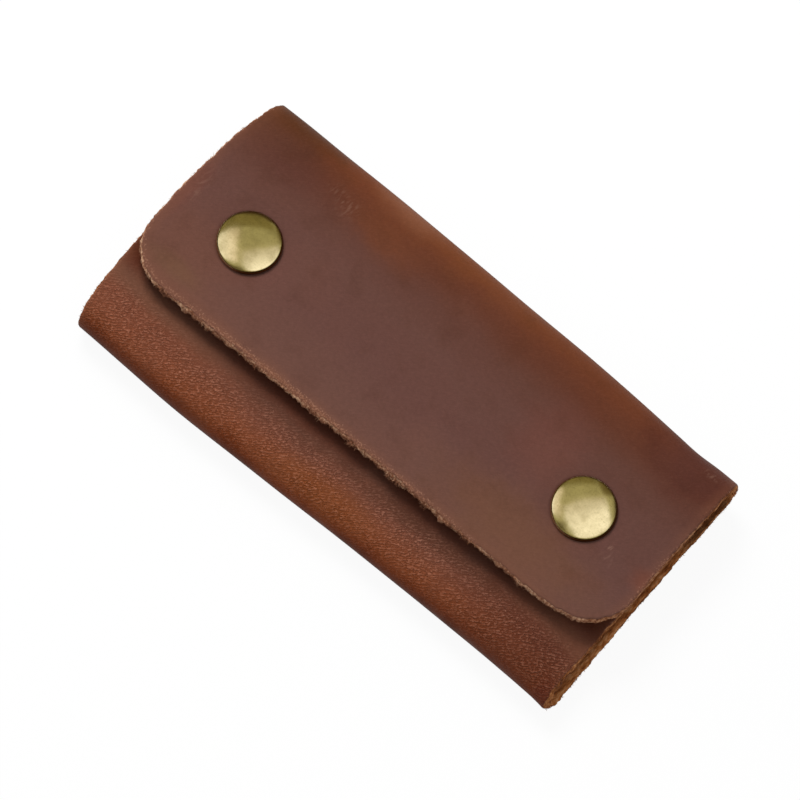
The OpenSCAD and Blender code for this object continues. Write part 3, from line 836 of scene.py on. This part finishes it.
def makeBrass(name, clean, patina, roughness, brushed):
    material, add = startMaterial(name)
    place = add("TexCoord").outputs["Object"]
    # patina in clouds about 3.5 mm and in specks about 0.35 mm, and the rim's dark: patina in the rim, and
    # painted shade, as it is kept off the side that faces the left softbox
    cloud = add("TexNoise", {"Scale": 1 / 0.0035, "Detail": 4.0, "Roughness": 0.6, "Vector": place})
    specks = add("TexNoise", {"Scale": 1 / 0.00035, "Detail": 3.0, "Roughness": 0.6, "Vector": place})
    clouded = add("MapRange", {0: cloud, "range": (0.42, 0.72, 0, 0.4)})
    specked = add("MapRange", {0: specks, "range": (0.55, 0.75, 0, 0.3)})
    left = add("Attribute", {"attribute_name": "rimPatina"}).outputs["Fac"]
    rough = add("MapRange", {0: cloud, "range": (0.3, 0.75, roughness, roughness + 0.08)})
    # relief: lines of the polishing about 0.2 mm, over dents about 2.8 mm
    stretch = add("Mapping", {"Scale": (1.0, brushed, 1.0), "Vector": place})
    lines = add("TexNoise", {"Scale": 1 / 0.0002, "Vector": stretch})
    fine = add("Bump", {"Distance": 0.000004, "Height": lines})
    dents = add("TexNoise", {"Scale": 1 / 0.0028, "Detail": 1.0, "Vector": place})
    bump = add("Bump", {"Distance": 0.00004, "Height": dents, "Normal": fine})
    finishMaterial(add, clean, [(clouded, patina), (specked, patina), (left, "#7a5a30")],
                   {"Metallic": 1.0, "Roughness": rough, "Normal": bump})
    return material


# Antiqued brass, spun into domes, darkened and wiped: soft cloudy gloss, olive in the low places.
capBrass = makeBrass("antiquedSpunBrass", "#f3e6bd", "#93824a", 0.14, 0.2)
# The same brass stamped from sheet and barrel-finished: even and a little duller.
sheetBrass = makeBrass("antiquedStampedBrass", "#c9ab74", "#6a5634", 0.34, 0.12)
# Spring steel, drawn and hardened: grey with a faint straw tint.
springSteel = makeBrass("hardenedSpringSteel", "#a8a69c", "#5c584c", 0.3, 0.1)

for name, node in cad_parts.items():
    if not node.hide_render:
        for slot in node.material_slots:
            slot.material = springSteel if name.startswith(("gate", "snap_spring")) else sheetBrass

dome = {
    "face": 5.75,               # radius of the domed face, mm
    "drop": 0.95,               # from the crown to the edge of the face
    "bulge": 2.2,               # how the dome steepens towards its edge
    "crown": 14.4,
    "rim": 6.25,                # radius over the rolled rim
    "foot": (6.25, 12.6),       # where the rim's wall ends, as radius and height
    "tuck": (5.95, 12.36),      # and where it turns under, in the leather
    "patina": (5.75, 6.1),      # where the rim's dark (patina and painted shade) starts and where it is full, as radii
    "towardsLitSide": (-0.757, -0.6535), # the way towards the left softbox, where the rim's painted shade is cleared most, and by how much
    "litSideClear": 0.8,
    "segments": 96, "rings": 16, "rimSteps": 9,
    # how the cap leans on the leather, in degrees towards +X and +Y
    "lean": {"left": (0.0, 0.0), "right": (2.0, -1.5)},
}


def capProfile():
    # from the tucked rim up to the crown, as (radius, height over the flap's bottom)
    face, drop, bulge = dome["face"], dome["drop"], dome["bulge"]
    crown, steps = dome["crown"], dome["rimSteps"] - 1
    edgeAngle = math.atan(drop * bulge / face)
    rimRadius = (dome["rim"] - face) / (1 - math.sin(edgeAngle))
    centre = (face - rimRadius * math.sin(edgeAngle), crown - drop - rimRadius * math.cos(edgeAngle))
    profile = [dome["tuck"], dome["foot"]]
    for k in range(steps + 1):
        angle = math.pi / 2 + (edgeAngle - math.pi / 2) * k / steps
        profile.append((centre[0] + rimRadius * math.sin(angle), centre[1] + rimRadius * math.cos(angle)))
    for k in range(1, dome["rings"]):
        r = face * (1 - k / dome["rings"])
        profile.append((r, crown - drop * (r / face) ** bulge))
    return profile


def makeCap(side):
    cx, cy = snapPlaces[side]
    profile = capProfile()
    deselectAll()
    bpy.ops.mesh.primitive_circle_add(vertices=dome["segments"], radius=profile[0][0] * mm,
                                      fill_type="NGON", location=(cx * mm, cy * mm, profile[0][1] * mm))
    cap = bpy.context.object
    cap.name = "snapCap" + side.capitalize()
    editAll()
    radius, height = profile[0]
    for nextRadius, nextHeight in profile[1:]:
        bpy.ops.mesh.extrude_region_move(
            TRANSFORM_OT_translate={"value": (0, 0, (nextHeight - height) * mm)})
        bpy.ops.transform.resize(value=(nextRadius / radius, nextRadius / radius, 1),
                                 center_override=(cx * mm, cy * mm, nextHeight * mm))
        radius, height = nextRadius, nextHeight
    bpy.ops.mesh.poke()
    bpy.ops.object.mode_set(mode="OBJECT")
    turnOutwards(cap)
    for v in cap.data.vertices:
        if v.co.xy.length < 1e-7 and v.co.z > 0:
            v.co.z = (dome["crown"] - profile[0][1]) * mm   # the middle of the last face is the crown
    bpy.ops.object.transform_apply(location=True, rotation=True, scale=True)
    leanX, leanY = [math.tan(math.radians(v)) for v in dome["lean"][side]]
    for v in cap.data.vertices:
        v.co.z -= leanX * (v.co.x - cx * mm) + leanY * (v.co.y - cy * mm)
    bpy.ops.object.shade_smooth_by_angle(angle=math.radians(smoothAngle))

    # the rim's dark: patina in the rim, and painted shade, kept off the side that faces the left softbox
    x, y, z = pointsOf(cap).T / mm
    fromAxis = np.hypot(x - cx, y - cy)
    low = z < dome["crown"] - dome["drop"]
    towardsLitSide = np.stack([x - cx, y - cy], 1) @ dome["towardsLitSide"] / np.maximum(fromAxis, 1e-6)
    left = low * easeIn(*dome["patina"], fromAxis) * (
        1 - dome["litSideClear"] * easeIn(0.2, 0.9, towardsLitSide))
    storeOnPoints(cap, "rimPatina", left)
    cap.data.materials.append(capBrass)
    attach(cap, "flap")
    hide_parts("snap_cap_" + side)


for side in snapPlaces:
    makeCap(side)
print("caps made")


# floor, world and lights

def showWhite(add, plain, white, output):
    # the camera, gloss and glass see the white one, and all other light the plain one
    path = add("LightPath").outputs
    seen = add("Math ADD", {0: path["Is Camera Ray"], 1: path["Is Glossy Ray"]})
    seen = add("Math ADD", {"use_clamp": True, 0: seen, 1: path["Is Transmission Ray"]})
    both = add("MixShader", {0: seen, 1: plain, 2: white})
    add(output, {"Surface": both})


deselectAll()
bpy.ops.mesh.primitive_plane_add(size=3, location=(0, 0, -0.0003))
floor = bpy.context.object
floor.name = "floor"
# matt white paper: it shows white and keeps a faint shadow
paperMaterial, add = startMaterial("whitePaper")
paper = add("BsdfDiffuse", {"Color": "#e4e2de"})
shadowed = add("BsdfDiffuse", {"Color": "#ffffff"})
glow = add("Emission")
showWhite(add, paper, add("MixShader", {0: 0.93, 1: shadowed, 2: glow}), "OutputMaterial")
floor.data.materials.append(paperMaterial)

world = bpy.data.worlds.new("studio")
bpy.context.scene.world = world
world.use_nodes = True
world.node_tree.nodes.clear()
add = partial(addNode, world.node_tree)
ambient = add("Background", {"Color": "#ffffff", "Strength": 0.45})
backdrop = add("Background", {"Color": "#ffffff"})
showWhite(add, ambient, backdrop, "OutputWorld")

# directions over the table, as the camera sees them
viewRight = Vector((0.757, 0.6535, 0))
viewDown = Vector((0.6535, -0.757, 0))


def overTable(right, down, height):
    return viewRight * right + viewDown * down + Vector((0, 0, height))


softbox = {"towards": (-0.2, -0.6, 0.8), "distance": 0.8, "size": 0.35, "power": 5.0}

place = overTable(*softbox["towards"]).normalized() * softbox["distance"]
deselectAll()
bpy.ops.object.light_add(type="AREA", location=place, rotation=place.to_track_quat("Z", "Y").to_euler())
key = bpy.context.object
key.name = "key"
key.data.shape = "SQUARE"
key.data.size = softbox["size"]
key.data.energy = softbox["power"]
key.visible_glossy = False

cardSettings = {
    # cards and softboxes that only the gloss shows: centre and size over the table (right, down) in metres as
    # the camera sees it, height, turn in degrees, brightness, and how far in the border fades
    "ceilingCard": {"centre": (0, -0.1), "size": (1.9, 1.9), "height": 0.34, "shade": "#a29b70"},
    "backCard": {"centre": (0.05, -0.46), "size": (1.3, 0.44), "height": 0.32, "shade": "#776c3f",
                 "soft": 0.1},
    "frontSoftbox": {"centre": (0.12, 0.043), "size": (0.37, 0.325), "height": 0.30, "turn": 18,
                     "shade": "#fffaf0", "glow": 1.12, "soft": 0.1, "fade": (0.0, 0.44, "Y", "#b4aa92")},
    "leftSoftbox": {"centre": (-0.31, -0.115), "size": (0.5, 0.27), "height": 0.30, "shade": "#fffaf0",
                    "glow": 1.05, "soft": 0.05, "fade": (0.18, 0.46, "X", "#dfd0b8")},
    "rightCard": {"centre": (0.29, -0.27), "size": (0.2, 0.26), "height": 0.29, "shade": "#64562e",
                  "soft": 0.2},
    "nearCard": {"centre": (-0.17, 0.14), "size": (0.26, 0.2), "height": 0.295, "shade": "#5a5030",
                 "soft": 0.15},
}
borderWander = 0.14     # how far a card's soft border wanders, as a share of the card

# a dark screen that stands round the table, for the low reflections
screenSettings = {"centre": (-0.14, 0), "radius": 0.56, "height": 0.4, "shade": "#3c2a18"}


def shineInGloss(piece, material, add, shade, glow):
    # gives a piece its light, and hides it from all but the gloss
    light = add("Emission", {"Color": shade, "Strength": glow})
    add("OutputMaterial", {"Surface": light})
    piece.data.materials.append(material)
    piece.visible_camera = piece.visible_diffuse = piece.visible_shadow = False
    piece.visible_transmission = piece.visible_volume_scatter = False


def addCard(name, centre, size, height, shade, turn=0, glow=1.0, soft=0.0, fade=None):
    deselectAll()
    bpy.ops.mesh.primitive_plane_add(
        size=1, location=overTable(*centre, height),
        rotation=(0, 0, math.atan2(viewRight.y, viewRight.x) + math.radians(turn)))
    card = bpy.context.object
    card.name = name
    card.scale = (size[0], size[1], 1)
    material, add = startMaterial(name)
    place = add("TexCoord").outputs["Object"]
    if fade:
        # falls off towards one side: from where to where, which way, and to what colour
        near, far, way, dim = fade
        across = add("SeparateXYZ", {0: place}).outputs[way]
        share = add("MapRange", {0: across, "range": (near, far, 0, 1)})
        shade = add("Mix", {"data_type": "RGBA", 0: share, 6: shade, 7: dim}).outputs[2]
    if soft:
        # fades into the ceiling towards its borders, which wander a little
        wander = add("TexNoise", {"Scale": 3.5, "Detail": 1.0, "Vector": place}).outputs["Color"]
        moved = add("VectorMath MULTIPLY_ADD", {0: wander, 1: (borderWander, borderWander, 0), 2: place})
        moved = add("VectorMath SUBTRACT", {0: moved, 1: (borderWander / 2, borderWander / 2, 0)})
        moved = add("VectorMath ABSOLUTE", {0: moved})
        sideways, upwards = add("SeparateXYZ", {0: moved}).outputs[:2]
        most = add("Math MAXIMUM", {0: sideways, 1: upwards})
        inside = add("MapRange", {"interpolation_type": "SMOOTHSTEP", 0: most,
                                  "range": (0.48, 0.48 - soft, 0, 1)})
        shade = add("Mix", {"data_type": "RGBA", 0: inside, 6: cardSettings["ceilingCard"]["shade"],
                            7: shade}).outputs[2]
    shineInGloss(card, material, add, shade, glow)


def addScreen(centre, radius, height, shade):
    deselectAll()
    bpy.ops.mesh.primitive_cylinder_add(vertices=48, radius=radius, depth=height, end_fill_type="NOTHING",
                                        location=overTable(*centre, height / 2))
    screen = bpy.context.object
    screen.name = "lowScreen"
    shineInGloss(screen, *startMaterial("lowScreen"), shade, 1.0)


for name, settings in cardSettings.items():
    addCard(name, **settings)
addScreen(**screenSettings)
print("stage set")
